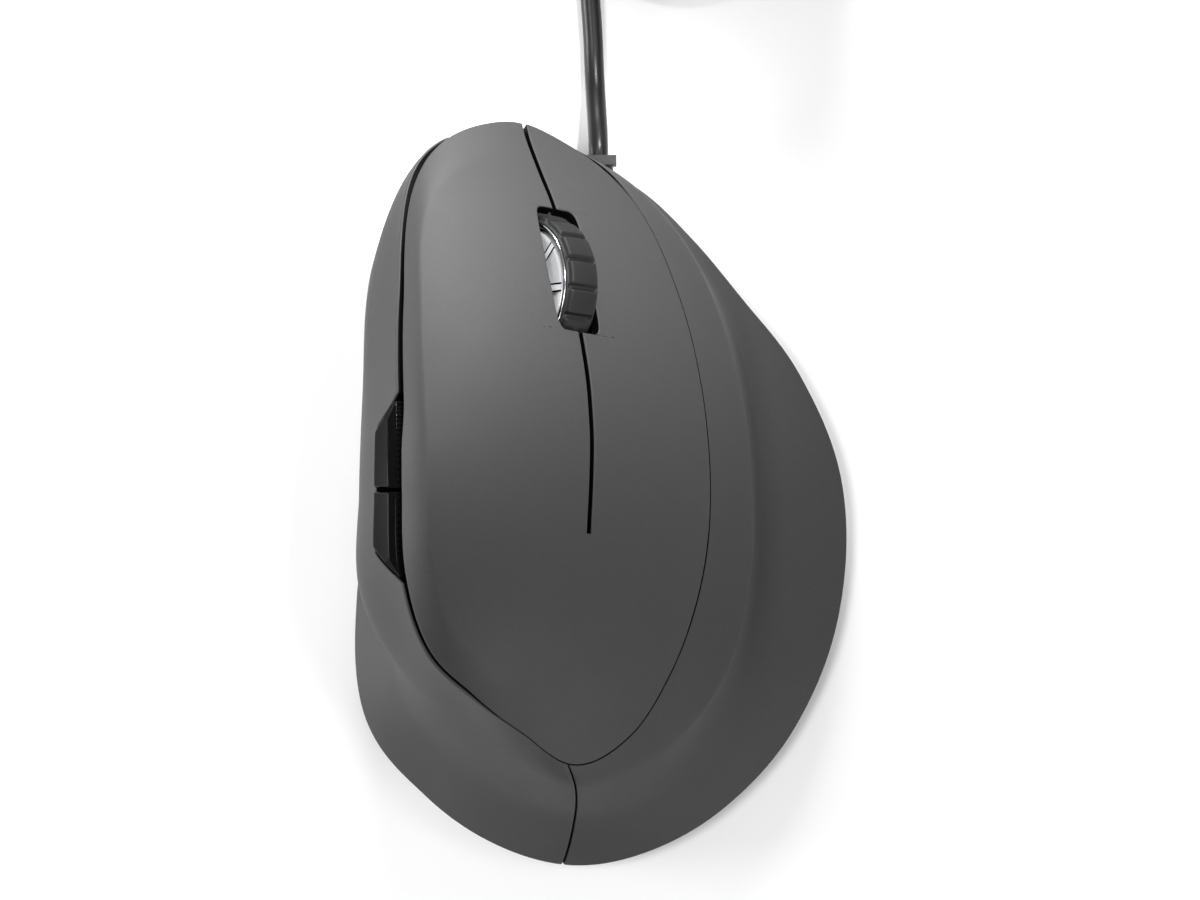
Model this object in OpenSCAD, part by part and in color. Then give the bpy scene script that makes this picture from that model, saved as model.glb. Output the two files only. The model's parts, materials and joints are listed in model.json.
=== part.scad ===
// Wired ergonomic mouse with a sloping face, thumb rest and two side buttons.
// +X is the low right side, +Y the cord end, +Z up.  The origin is the middle of the
// footprint, on the desk.

/* [Body] */
// length of the body, tail to nose
body_length = 122.4; // [121.5:0.1:123]
// wall of the outer shells
wall = 1.8; // [1.6:0.1:2]
// height of the feet under the base plate
foot_height = 0.6; // [0.5:0.1:0.7]
// thickness of the base plate
base_thickness = 1.8; // [1.6:0.1:1.9]

/* [Buttons] */
// width of the slit between the main buttons
slit_width = 0.65; // [0.5:0.05:0.8]
// gap around the cover and the side buttons
panel_gap = 0.45; // [0.4:0.05:0.6]
// how far the side buttons stand proud of the shell
side_button_proud = 1.1; // [0.8:0.1:1.3]

/* [Wheel] */
// radius over the tread
wheel_radius = 12.3; // [12:0.1:12.5]
// width of the tyre
wheel_width = 6.6; // [6.4:0.1:6.8]
// depth of the wheel's centre below the face
wheel_depth = 8.5; // [8.3:0.1:8.8]

/* [Cord] */
// diameter of the cord
cord_diameter = 3.3; // [3.2:0.1:3.4]

/* [Hidden] */
eps = 0.01;
floor_z = foot_height + base_thickness;

// --- skin: a table of offsets around a stretched polar grid -------------------------
skin_x = -4;
skin_y = 2;
stretch = body_length / 81.6;
step = 18;
// every 18 degrees from +X: seam radius, bevel drop at the seam, shoulder radius and
// height, groove radius and height, flare radius and height
stations = [
    [22, 0, 29, 19.5, 31.5, 10, 44.6, 4.5],
    [22.5, 0, 29, 18.5, 31.2, 9, 39.6, 4.5],
    [24.3, 0, 30, 17, 31.6, 8.5, 35, 4.5],
    [27.6, 0, 32, 15.5, 32.2, 8.5, 33.8, 4.5],
    [32.5, 0.3, 34.3, 14.5, 34, 8.5, 34.8, 4.5],
    [37, 0.8, 37, 15.5, 36.3, 9.5, 36.4, 5.5],
    [41.9, 1.5, 40.8, 22, 38.8, 12.5, 38.6, 6],
    [42.9, 2.5, 43.3, 29, 40, 16, 40.6, 6],
    [34.2, 3.5, 40, 38.5, 34, 19, 37.5, 6],
    [28.9, 3.8, 35.4, 41.5, 29, 19.5, 34, 6.5],
    [27.3, 4, 34.2, 42.5, 27.8, 20, 33, 7],
    [28.1, 4, 35.8, 42.5, 31, 20, 38.3, 8.5],
    [28.5, 2.6, 33.4, 40.5, 36.2, 22, 43.3, 9.5],
    [27, 1, 30, 39.5, 35.8, 22, 42.4, 8.5],
    [27.1, 0.3, 30.2, 36.5, 35.4, 20.5, 41.9, 7],
    [29.6, 0, 32, 31.3, 35.9, 18.5, 42.1, 6],
    [28.2, 0, 31.6, 27, 36.4, 15.8, 42.4, 5.5],
    [25.5, 0, 31.9, 24, 36.1, 13.2, 43.6, 5],
    [23.6, 0, 31.6, 21.5, 35.2, 11.5, 45.4, 4.5],
    [22.5, 0, 30.2, 20, 33.2, 10, 46.2, 4.5]];
bevel_width = 4.8;
bevel_curve = 1.4;
flare_undercut = 0.8;

function station(i) = stations[(i + 40) % 20];
function offsets(a) =
    let (i = floor(a / step), f = a / step - i)
    0.5 * (station(i - 1) * (-f + 2 * f * f - f * f * f)
         + station(i) * (2 - 5 * f * f + 3 * f * f * f)
         + station(i + 1) * (f + 4 * f * f - 3 * f * f * f)
         + station(i + 2) * (-f * f + f * f * f));
function polar(a, r) = [skin_x + r * cos(a), skin_y + stretch * r * sin(a)];
function angle_of(p) = atan2((p.y - skin_y) / stretch, p.x - skin_x);
function radius_of(p) = norm([p.x - skin_x, (p.y - skin_y) / stretch]);

// height of the face before its bevel: low on the right, round towards nose and tail
function face(p) =
    let (u = (p.x + 4) / 20, v = p.y / 50)
    49.5 - 15.5 * u + v - 4.5 * u * u + u * v - 18.5 * v * v - 2.5 * u * u * v
    - u * v * v - pow(v, 3) - 1.5 * pow(v, 4) - 4 * u * pow(v, 3);
function bevelled(p) =
    let (o = offsets(angle_of(p) + 360),
         e = max(0, (radius_of(p) - o[0] + bevel_width) / bevel_width))
    face(p) - o[1] * pow(e, bevel_curve);
function on_face(p) = [p.x, p.y, bevelled(p)];
function ramp(x) = min(1, max(0, x));
function smooth(x) = let (r = ramp(x)) r * r * (3 - 2 * r);
function unit(v) = v / norm(v);
function face_normal(p) =
    let (d = 0.2)
    unit([bevelled([p.x - d, p.y]) - bevelled([p.x + d, p.y]),
          bevelled([p.x, p.y - d]) - bevelled([p.x, p.y + d]), 2 * d]);

// the skirt from the seam (t = 0) over shoulder and groove to the flare (0.9) and
// the base (1)
function hermite(p, q, m, n, f) =
    p * (1 - 3 * f * f + 2 * f * f * f) + q * (3 * f * f - 2 * f * f * f)
    + m * (f - 2 * f * f + f * f * f) + n * (f * f * f - f * f);
// the shoulder is a crisp edge on the right and round elsewhere
function roundness(a) = 0.4 - 0.28 * smooth((cos(a + 5) - 0.3) / 0.4);
function profile(a, t) =
    let (o = offsets(a), seam = polar(a, o[0]),
         p0 = [o[0], face(seam) - o[1]], p1 = [o[2], o[3]], p2 = [o[4], o[5]],
         p3 = [o[6], o[7]], p4 = [o[6] - flare_undercut, floor_z],
         m1 = (p2 - p0) * roundness(a), m2 = (p3 - p1) * 0.4)
    t < 0.3 ? hermite(p0, p1, p1 - p0, m1, t / 0.3)
    : t < 0.6 ? hermite(p1, p2, m1, m2, (t - 0.3) / 0.3)
    : t < 0.9 ? hermite(p2, p3, m2, p3 - p2, (t - 0.6) / 0.3)
    : p3 + (p4 - p3) * (t - 0.9) / 0.1;
function skirt(a, t) =
    let (q = profile(a, t), p = polar(a, q[0]))
    [p.x, p.y, q[1]];
function skirt_normal(a, t) =
    let (d = 0.3, e = 0.01)
    unit(cross(skirt(a, min(t + e, 0.9)) - skirt(a, min(t + e, 0.9) - 2 * e),
               skirt(a + d, t) - skirt(a - d, t)));
function inside(a, t) =
    t > 0.99 ? let (p = polar(a, profile(a, 1)[0] - 0.8 * wall)) [p.x, p.y, floor_z]
    : t > 0.89 ? let (p = polar(a, profile(a, 0.9)[0] - wall)) [p.x, p.y, floor_z + 0.6]
    : let (p = skirt(a, t) - wall * skirt_normal(a, t)) [p.x, p.y, max(p.z, floor_z + 0.7)];

// --- panel outlines ----------------------------------------------------------------
tail_seam = 268;
corner_seam = 118;
hinge_left = 190.4;
hinge_right = 348;
hinge_y = -5;
slit_top = 102;
// side-button opening along the seam: its ends lean towards each other
bay_front = 160;
bay_rear = 200;
bay_lean = 8;
bay_depth = 0.125;
bay_middle = 180;
seam_t = 0.008;
nose_t = 0.16;
function nose_share(a) = smooth((a - 72) / 16) * smooth((135 - a) / 20);
function bay_share(a) = ramp((a - bay_front) / bay_lean) * ramp((bay_rear - a) / bay_lean);
function shell_top(a) = seam_t + nose_t * nose_share(a) + bay_depth * bay_share(a);

// the slit's middle line, with the wheel slot's round-ended opening along it
slit_line = [[-5, -1.7], [2, -1.3], [10, -1.1], [19, -1.7], [27, -3], [46.8, -7],
             [53, -9.6], [61, -12.5]];
slot_y = 36.9;
slot_half_length = 10;
slot_half_width = 3.3;
slot_shear = 0.16;
// the slot is larger on the inside, clear of the wheel when a button goes down
slot_relief = 0.6;
function slot_reach(more) = slot_half_length + 2 * more;
function slot_open(y, more) =
    let (r = min(1, abs(y - slot_y) / slot_reach(more)))
    max(slit_width / 2, (slot_half_width + more) * pow(1 - pow(r, 8), 0.125));
function slit_x(y) = lookup(y, slit_line);
function lerp(a, b, f) = a + (b - a) * f;
nose_y = polar(slit_top, offsets(slit_top)[0]).y - 0.3;
slit_end = 0.2;
function slit_ys(more) =
    concat([for (i = [0:7]) lerp(hinge_y + panel_gap, slot_y - slot_reach(more) - slit_end, i / 7)],
           [for (a = [8:16.4:172]) slot_y - slot_reach(more) * cos(a)],
           [for (i = [0:4]) lerp(slot_y + slot_reach(more) + slit_end, nose_y, i / 4)]);
function slit_edge(side, more) =
    [for (y = slit_ys(more)) let (open = slot_open(y, more))
        [slit_x(y) + side * open, y - slot_shear * side * (open - slit_width / 2)]];

// --- closed slabs from two grids of points -------------------------------------------
function flat_list(rows) = [for (r = rows) each r];
module slab(outer, inner) {
    n = len(outer);
    m = len(outer[0]);
    k = n * m;
    points = concat(flat_list(outer), flat_list(inner));
    faces = [
        for (i = [0:n - 2], j = [0:m - 2])
            let (a = i * m + j, b = a + 1, c = a + m + 1, d = a + m)
            each [[a, b, c], [a, c, d], [a + k, c + k, b + k], [a + k, d + k, c + k]],
        for (i = [0:n - 2])
            let (a = i * m, d = a + m, b = a + m - 1, c = b + m)
            each [[a, d, d + k], [a, d + k, a + k], [b, b + k, c + k], [b, c + k, c]],
        for (j = [0:m - 2])
            let (a = j, b = j + 1, c = (n - 1) * m + j, d = c + 1)
            each [[a, a + k, b + k], [a, b + k, b], [c, d, d + k], [c, d + k, c + k]]];
    polyhedron(points = points, faces = faces, convexity = 8);
}
// a patch of the plan between four edge lists that share their corners
function coons(low, high, left, right) =
    let (n = len(left) - 1, m = len(low) - 1)
    [for (i = [0:n]) [for (j = [0:m])
        let (v = i / n, u = j / m)
        (1 - v) * low[j] + v * high[j] + (1 - u) * left[i] + u * right[i]
        - (1 - u) * (1 - v) * low[0] - u * (1 - v) * low[m]
        - (1 - u) * v * high[0] - u * v * high[m]]];
function side_gap(a) = panel_gap + 0.5 * smooth((a - 118) / 10) * smooth((172 - a) / 12);
function edge(a0, a1, n, inset = undef) =
    [for (i = [0:n]) let (a = (lerp(a0, a1, i / n) + 360) % 360)
        polar(a, offsets(a)[0] - (is_undef(inset) ? side_gap(a) : inset))];
function line(p, q, n) = [for (i = [0:n]) lerp(p, q, i / n)];
module face_panel(outer, inner) {
    slab([for (row = outer) [for (p = row) on_face(p)]],
         [for (row = inner) [for (p = row) on_face(p) - wall * face_normal(p)]]);
}

// --- wheel frame: x along the axle, y forward along the face, z out of it -------------
wheel_top = [-4.8, slot_y];
face_out = face_normal(wheel_top);
axle_guess = [0.794, -0.1, -0.6];
axle_dir = unit(axle_guess - (axle_guess * face_out) * face_out);
ahead_dir = cross(face_out, axle_dir);
wheel_at = on_face(wheel_top) - wheel_depth * face_out;
module in_wheel_frame() {
    multmatrix([[axle_dir.x, ahead_dir.x, face_out.x, wheel_at.x],
                [axle_dir.y, ahead_dir.y, face_out.y, wheel_at.y],
                [axle_dir.z, ahead_dir.z, face_out.z, wheel_at.z],
                [0, 0, 0, 1]])
        children();
}
module along_axle(from, to, r) {
    translate([from, 0, 0])
        rotate([0, 90, 0])
            cylinder(h = to - from, r = r, $fn = 48);
}

grey = [0.33, 0.33, 0.34];
dark = [0.12, 0.12, 0.13];
black = [0.03, 0.03, 0.035];
steel = [0.75, 0.76, 0.78];
green = [0.1, 0.3, 0.15];

// --- shells -----------------------------------------------------------------------
module base_outline(inset) {
    polygon([for (a = [0:6:354]) polar(a, offsets(a)[6] - flare_undercut - inset)]);
}
screw_places = [[-26, -26], [17, -27], [18, 14], [-26, 41]];
sensor_place = [-4, -4];
module base_plate() {
    color(dark)
        translate([0, 0, foot_height])
            linear_extrude(base_thickness)
                difference() {
                    base_outline(0.4);
                    translate(sensor_place)
                        circle(d = 9, $fn = 48);
                    for (p = screw_places)
                        translate(p)
                            circle(d = 3.4, $fn = 32);
                }
}

// the seam between the shells swings to the right on its way down the tail
tail_reach = 30;
function tail_warp(a, t) =
    a + (11 * t * (1 - t) - 2.5 * t * t * t)
    * smooth(1 - min(abs(a - tail_seam), abs(a - tail_seam + 360)) / tail_reach);
module skirt_panel(angles, levels) {
    ts = function (a) [for (f = levels) lerp(shell_top(a), 0.9, f)];
    lower = function (t) t + lip_t * pow(max(0, 1 - t / 0.3), 2);
    slab([for (a = angles) [for (t = concat(ts(a), 1)) skirt(tail_warp(a, t), t)]],
         [for (a = angles) [for (t = concat(ts(a), 1)) inside(tail_warp(a, t), lower(t))]]);
}
// the rim slants inwards, so the cover's edge clears it
lip_t = 0.035;
skirt_levels = [0, 0.08, 0.17, 0.25, 0.33, 0.42, 0.52, 0.62, 0.73, 0.84, 0.94, 1];
thumb_angles = concat([for (a = [corner_seam:5:158]) a], [bay_front],
                      [for (i = [1:3]) bay_front + bay_lean * i / 3],
                      [172, 176, 180, 184, 188],
                      [for (i = [0:3]) bay_rear - bay_lean * (3 - i) / 3],
                      [for (a = [204:5:264]) a], [tail_seam - 0.35]);
module thumb_shell() {
    color(grey)
        skirt_panel([for (a = thumb_angles) a == corner_seam ? a + 0.35 : a], skirt_levels);
}
module right_shell() {
    color(grey)
        skirt_panel([for (a = [tail_seam - 360:4:corner_seam]) a], skirt_levels);
}

module top_cover() {
    a0 = hinge_left;
    a1 = hinge_right;
    inset = panel_gap;
    left = edge(a0, 236, 9);
    low = edge(236, 306, 12);
    right = edge(a1, 306, 9);
    high = line(left[0], right[0], 12);
    grid = coons(high, low, left, right);
    color(grey)
        face_panel(grid, grid);
}
module main_button(side) {
    rim = side < 0 ? hinge_left - 0.8 : hinge_right - 360 + 0.8;
    corner = side < 0 ? 124 : 62;
    rows = len(slit_ys(0)) - 1;
    outer = edge(rim, corner, rows);
    nose = edge(corner, slit_top - side * 0.3, 9, 0);
    patch = function (more)
        let (cut = slit_edge(side, more),
             high = [for (i = [0:9]) i == 0 ? outer[rows] : i == 9 ? cut[rows] : nose[i]],
             low = line(outer[0], cut[0], 9))
        side < 0 ? coons(low, high, outer, cut)
        : coons([for (i = [9:-1:0]) low[i]], [for (i = [9:-1:0]) high[i]], cut, outer);
    color(grey)
        face_panel(patch(0), patch(slot_relief));
}
module left_button() {
    main_button(-1);
}
module right_button() {
    main_button(1);
}
// the dark liner in the groove between cover and thumb shell
module groove_trim() {
    strip = function (a, drop) let (r = offsets(a)[0], z = profile(a, 0)[1] - drop)
        [for (d = [-2.5, -1.2]) let (p = polar(a, r + d)) [p.x, p.y, z]];
    color(black)
        for (span = [[132, 157], [203, 232]]) {
            angles = [for (i = [0:8]) lerp(span[0], span[1], i / 8)];
            slab([for (a = angles) strip(a, 2.6)], [for (a = angles) strip(a, 3.5)]);
        }
}

// --- side buttons -------------------------------------------------------------------
bay_clear_a = 0.7;
bay_clear_t = 0.008;
side_button_depth = 2.2;
module side_button(a0, a1) {
    rows = 8;
    cols = 5;
    low_t = seam_t + bay_depth - bay_clear_t;
    lean = function (a) a < bay_middle ? max(0, (bay_front + bay_lean + bay_clear_a - a)) / bay_lean
                                       : max(0, (a - bay_rear + bay_lean + bay_clear_a)) / bay_lean;
    bottom = function (a) low_t - bay_depth * lean(a);
    grid = [for (i = [0:rows]) let (a = lerp(a0, a1, i / rows))
               [for (j = [0:cols]) [a, lerp(seam_t, bottom(a), j / cols)]]];
    proud = function (i, j) side_button_proud
        * (i == 0 || i == rows || j == 0 || j == cols ? 0.3 : 1);
    color(black)
        slab([for (i = [0:rows]) [for (j = [0:cols]) let (q = grid[i][j])
                 skirt(q[0], q[1]) + proud(i, j) * skirt_normal(q[0], q[1])]],
             [for (i = [0:rows]) [for (j = [0:cols]) let (q = grid[i][j])
                 skirt(q[0], q[1]) - side_button_depth * skirt_normal(q[0], q[1])]]);
}
module forward_button() {
    side_button(bay_front + bay_clear_a + 0.8, bay_middle - 0.35);
}
module back_button() {
    side_button(bay_middle + 0.35, bay_rear - bay_clear_a - 0.8);
}

// --- wheel and its carriage ----------------------------------------------------------
hub_radius = 11.2;
axle_radius = 1.1;
axle_fit = 0.05;
carriage_x = 5.4;
carriage_wall = 1.6;
board_z = -9.3;
board_thickness = 1.6;
pivot_y = -19;
pivot_z = -4.5;
module wheel_tyre() {
    bevel = 0.5;
    half = wheel_width / 2;
    color(dark)
        in_wheel_frame()
            rotate([0, 90, 0])
                rotate_extrude($fn = 72)
                    polygon([[hub_radius + 0.02, -half], [wheel_radius - bevel, -half],
                             [wheel_radius, bevel - half], [wheel_radius, half - bevel],
                             [wheel_radius - bevel, half], [hub_radius + 0.02, half]]);
}
module wheel_hub() {
    rim = 1.4;
    web = 1.2;
    color(steel)
        in_wheel_frame() {
            difference() {
                along_axle(-wheel_width / 2, wheel_width / 2, hub_radius);
                along_axle(-wheel_width, -web, hub_radius - rim);
                along_axle(web, wheel_width, hub_radius - rim);
            }
            along_axle(-wheel_width / 2 - 0.6, -web + eps, 3);
            along_axle(web - eps, wheel_width / 2 + 0.6, 3);
            along_axle(-carriage_x - carriage_wall, carriage_x + carriage_wall, axle_radius);
        }
}
module carriage_side(x) {
    translate([x, 0, 0])
        rotate([90, 0, 90])
            linear_extrude(carriage_wall)
                difference() {
                    union() {
                        circle(r = 3, $fn = 48);
                        translate([pivot_y, pivot_z])
                            circle(r = 2.6, $fn = 48);
                        polygon([[0, 3], [1.5, -3], [pivot_y, pivot_z - 2.2], [pivot_y, pivot_z + 2.2]]);
                    }
                    circle(r = axle_radius + axle_fit, $fn = 48);
                    translate([pivot_y, pivot_z])
                        circle(r = 1 + axle_fit, $fn = 48);
                }
}
module wheel_carriage() {
    color(dark)
        in_wheel_frame() {
            carriage_side(carriage_x);
            carriage_side(-carriage_x - carriage_wall);
            translate([-carriage_x - eps, pivot_y + 3.5, pivot_z - 1.4])
                cube([2 * carriage_x + 2 * eps, 2, 2.8]);
        }
}
module carriage_pivot() {
    color(steel)
        in_wheel_frame()
            translate([0, pivot_y, pivot_z])
                along_axle(-carriage_x - 4.2, carriage_x + 4.2, 1);
}
module pivot_post(x) {
    translate([x, pivot_y, 0])
        difference() {
            translate([0, -2.6, board_z])
                cube([2, 5.2, pivot_z - board_z + 2.4]);
            translate([0, 0, pivot_z])
                along_axle(-1, 3, 1 + 0.02);
        }
}
module pivot_posts() {
    color(dark)
        in_wheel_frame() {
            pivot_post(carriage_x + carriage_wall + 0.5);
            pivot_post(-carriage_x - carriage_wall - 2.5);
        }
}
module encoder() {
    color(black)
        in_wheel_frame()
            for (s = [-1, 1])
                translate([s * 9.8 - 1.6, -1.8, board_z])
                    cube([3.2, 3.6, 6.2]);
}

// --- tilted switch board, switches and what presses them --------------------------------
switch_y = 3;
switch_x = 15;
switch_size = [5.8, 12.8, 6.5];
plunger_up = 0.9;
module switch_board() {
    color(green)
        in_wheel_frame()
            translate([0, 0, board_z - board_thickness])
                linear_extrude(board_thickness)
                    difference() {
                        translate([-18.2, -22.6])
                            square([36.4, 32.6]);
                        translate([-carriage_x - 2.4, -11])
                            square([2 * carriage_x + 4.8, 24]);
                    }
}
module micro_switch(x, y) {
    in_wheel_frame()
        translate([x, y, board_z])
            difference() {
                translate([-switch_size.x / 2, -switch_size.y / 2, 0])
                    cube(switch_size);
                translate([0, 2.5, switch_size.z - 2])
                    cylinder(h = 3, r = 1.25, $fn = 32);
            }
}
module plunger(x) {
    in_wheel_frame()
        translate([x, switch_y + 2.5, board_z + switch_size.z - 1.2])
            cylinder(h = 1.2 + plunger_up, r = 1.2, $fn = 32);
}
module post(x, top) {
    bottom = board_z + switch_size.z + plunger_up + 0.03;
    in_wheel_frame()
        translate([x, switch_y + 2.5, bottom])
            cylinder(h = top - bottom, r = 1.6, $fn = 32);
}
// where the posts meet the underside of the buttons
post_top_left = 4.4;
post_top_right = 5.2;
module left_switch() {
    color(black)
        micro_switch(-switch_x, switch_y);
}
module right_switch() {
    color(black)
        micro_switch(switch_x, switch_y);
}
module middle_switch() {
    color(black)
        in_wheel_frame()
            translate([-3, pivot_y + 1.4, board_z])
                cube([6, 6, 3.1]);
}
module left_plunger() {
    color([0.8, 0.2, 0.1])
        plunger(-switch_x);
}
module right_plunger() {
    color([0.8, 0.2, 0.1])
        plunger(switch_x);
}
module left_post() {
    color(grey)
        post(-switch_x, post_top_left);
}
module right_post() {
    color(grey)
        post(switch_x, post_top_right);
}

// --- inside the base --------------------------------------------------------------------
board_low = floor_z + 3.4;
module main_board() {
    color(green)
        translate([0, 0, board_low])
            linear_extrude(board_thickness)
                difference() {
                    translate([-20, -26])
                        square([34, 34]);
                    translate(sensor_place)
                        circle(d = 8, $fn = 48);
                }
}
board_legs = [[-17, -23], [11, -23], [11, 5], [-17, 5]];
module board_standoffs() {
    color(dark)
        for (p = board_legs)
            translate([p.x, p.y, floor_z])
                cylinder(h = board_low - floor_z, r = 2, $fn = 32);
}
module sensor() {
    color(black)
        translate([sensor_place.x - 5.5, sensor_place.y - 6, board_low + board_thickness])
            cube([11, 12, 3]);
}
module sensor_lens() {
    color([0.8, 0.85, 0.9])
        translate([sensor_place.x, sensor_place.y, foot_height + 0.6])
            cylinder(h = board_low + board_thickness - foot_height - 0.6, r = 3.6, $fn = 48);
}
module controller_chip() {
    color(black)
        translate([2, -21, board_low + board_thickness])
            cube([8, 8, 1.6]);
}
module cable_header() {
    color([0.9, 0.9, 0.85])
        translate([4, 2, board_low + board_thickness])
            cube([9, 5, 5]);
}
frame_legs = [[-24, 34], [-21, 14], [-1, 12], [-5, 31]];
module frame_posts() {
    color(dark)
        difference() {
            for (p = frame_legs)
                translate([p.x, p.y, floor_z])
                    cylinder(h = 40, r = 2.2, $fn = 32);
            in_wheel_frame()
                translate([-60, -60, board_z - board_thickness])
                    cube([120, 120, 80]);
        }
}
side_board_x = -26.4;
side_board_z = 47.5;
module side_board() {
    color(green)
        translate([side_board_x, -12, side_board_z])
            cube([1.4, 28, 6]);
}
module side_switch(y) {
    color(black)
        translate([side_board_x - 2.2, y, side_board_z + 2])
            cube([2.2, 6, 3.2]);
}
module forward_switch() {
    side_switch(6.5);
}
module back_switch() {
    side_switch(-7.5);
}
module side_board_post() {
    color(dark)
        translate([side_board_x + 1.4, -11, floor_z])
            linear_extrude(side_board_z + 4 - floor_z)
                square([3, 5]);
}

// --- feet, screws -------------------------------------------------------------------
module foot_shape(length, width, turn) {
    rotate(turn)
        union() {
            square([length, width], center = true);
            for (e = [-1, 1])
                translate([e * length / 2, 0])
                    circle(d = width, $fn = 32);
        }
}
module foot(x, y, length, width, turn) {
    color(black)
        translate([x, y, 0])
            linear_extrude(foot_height)
                foot_shape(length, width, turn);
}
module foot_front() {
    foot(-4, 45, 20, 6, 0);
}
module foot_rear() {
    foot(-4, -47, 26, 7, 0);
}
module foot_right() {
    foot(30, -4, 18, 6, 90);
}
module foot_left() {
    foot(-30, -2, 16, 5, 90);
}
module base_screws() {
    color(steel)
        for (p = screw_places)
            translate([p.x, p.y, foot_height + 0.2]) {
                cylinder(h = 1, r = 1.65, $fn = 32);
                cylinder(h = 9, r = 0.9, $fn = 32);
            }
}
module screw_bosses() {
    color(dark)
        for (p = screw_places)
            translate([p.x, p.y, floor_z])
                difference() {
                    cylinder(h = 8, r = 2.4, $fn = 32);
                    translate([0, 0, -1])
                        cylinder(h = 8.5, r = 0.93, $fn = 32);
                }
}

// --- cord -----------------------------------------------------------------------------
exit_x = -0.3;
exit_y = 57.2;
exit_z = 7;
coil_x = 18.6;
coil_y = 112;
coil_mean = 18.8;
coil_columns = 3;
coil_layers = 4;
coil_base = 0.6;
plug_y = 138;
plug_z = 4;
// where the cord runs from the gland to the coil, and from the coil to the plug
route_out = [[exit_x, exit_y, exit_z], [-0.3, 59, 6.9], [-0.4, 62, 5.8], [-0.6, 65.5, 4],
             [-0.8, 69, 2.5], [-1, 73, 1.8], [-1.2, 78, 1.65], [-1.8, 86, 1.65],
             [-2.8, 95, 1.7], [-3.4, 103, 2.1], [-3.5, 110, 2.25], [-3.5, 113, 2.25]];
route_in = [[-3.5, 112, 12.1], [-3.5, 117, 11.9], [-3.4, 122, 10], [-3.3, 127, 7],
            [-3.2, 132, 4.7], [-3.2, 135, 4.1], [-3.2, plug_y, plug_z]];
function spline_at(route, s) =
    let (n = len(route), i = min(floor(s), n - 2), f = s - i,
         a = route[max(i - 1, 0)], b = route[i], c = route[i + 1], d = route[min(i + 2, n - 1)])
    0.5 * (a * (-f + 2 * f * f - f * f * f) + b * (2 - 5 * f * f + 3 * f * f * f)
         + c * (f + 4 * f * f - 3 * f * f * f) + d * (-f * f + f * f * f));
module cord_along(route, rings, radius) {
    sides = 8;
    n = len(route) - 1;
    centres = [for (i = [0:rings]) spline_at(route, n * i / rings)];
    heads = [for (i = [0:rings]) unit(centres[min(i + 1, rings)] - centres[max(i - 1, 0)])];
    ring = function (i)
        let (h = i == 0 || i == rings ? [0, 1, 0] : heads[i],
             across = unit(cross(h, [0, 0, 1])), up = cross(across, h))
        [for (k = [0:sides - 1]) let (a = 360 * (k + 0.5) / sides)
            centres[i] + radius * (cos(a) * across + sin(a) * up)];
    points = [for (i = [0:rings]) each ring(i)];
    faces = [
        [for (k = [0:sides - 1]) k],
        [for (k = [sides - 1:-1:0]) rings * sides + k],
        for (i = [0:rings - 1], k = [0:sides - 1])
            let (a = i * sides + k, b = i * sides + (k + 1) % sides)
            each [[a, a + sides, b + sides], [a, b + sides, b]]];
    polyhedron(points = points, faces = faces, convexity = 6);
}
module cable_gland() {
    color(black)
        translate([exit_x, 0, exit_z]) {
            translate([-3, exit_y - 1.6, -3])
                cube([6, 1.6, 6]);
            translate([0, exit_y - 1.6 + eps, 0])
                rotate([90, 0, 0])
                    cylinder(h = 6, r = 2.5, $fn = 32);
        }
}
module inner_lead() {
    color(black)
        cord_along([[8.5, 7, 10.2], [8.5, 12, 10.2], [8.4, 20, 9], [5, 33, 7.6], [1, 44, 7.2],
                    [exit_x, exit_y - 7.6, exit_z]], 14, 1.2);
}
module cable() {
    color(black)
        cord_along(route_out, 26, cord_diameter / 2);
}
module cable_end() {
    color(black)
        cord_along(route_in, 10, cord_diameter / 2);
}
module cable_coil() {
    inner = coil_mean - coil_columns * cord_diameter / 2;
    color(black)
        translate([coil_x, coil_y, coil_base])
            rotate_extrude($fn = 96)
                translate([inner, 0])
                    square([coil_columns * cord_diameter, coil_layers * cord_diameter]);
}
module coil_tie() {
    thickness = 0.6;
    wide = coil_columns * cord_diameter;
    tall = coil_layers * cord_diameter;
    color(dark)
        translate([coil_x + coil_mean - wide / 2 - thickness, coil_y - 4, 0])
            difference() {
                cube([wide + 2 * thickness + 0.4, 8, tall + 2 * thickness]);
                translate([thickness - 0.35, -1, thickness])
                    cube([wide + 0.75, 10, tall]);
            }
}
module usb_plug_body() {
    color(black)
        translate([-3.2, plug_y, plug_z])
            rotate([-90, 0, 0]) {
                cylinder(h = 7, r1 = 2.4, r2 = 3.4, $fn = 32);
                translate([-7.6, -4, 7 - eps])
                    cube([15.2, 8, 22]);
            }
}
module usb_plug_shell() {
    color(steel)
        translate([-3.2, plug_y + 29 - eps, plug_z])
            rotate([-90, 0, 0])
                difference() {
                    translate([-6, -2.25, 0])
                        cube([12, 4.5, 12]);
                    translate([-5.6, -1.85, 1])
                        cube([11.2, 1.7, 12]);
                }
}

base_plate();
thumb_shell();
right_shell();
top_cover();
left_button();
right_button();
groove_trim();
forward_button();
back_button();
wheel_tyre();
wheel_hub();
wheel_carriage();
carriage_pivot();
pivot_posts();
encoder();
switch_board();
left_switch();
right_switch();
middle_switch();
left_plunger();
right_plunger();
left_post();
right_post();
main_board();
board_standoffs();
sensor();
sensor_lens();
controller_chip();
cable_header();
frame_posts();
side_board();
forward_switch();
back_switch();
side_board_post();
foot_front();
foot_rear();
foot_right();
foot_left();
base_screws();
screw_bosses();
cable_gland();
inner_lead();
cable();
cable_end();
cable_coil();
coil_tie();
usb_plug_body();
usb_plug_shell();
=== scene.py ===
import json
import math

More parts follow.
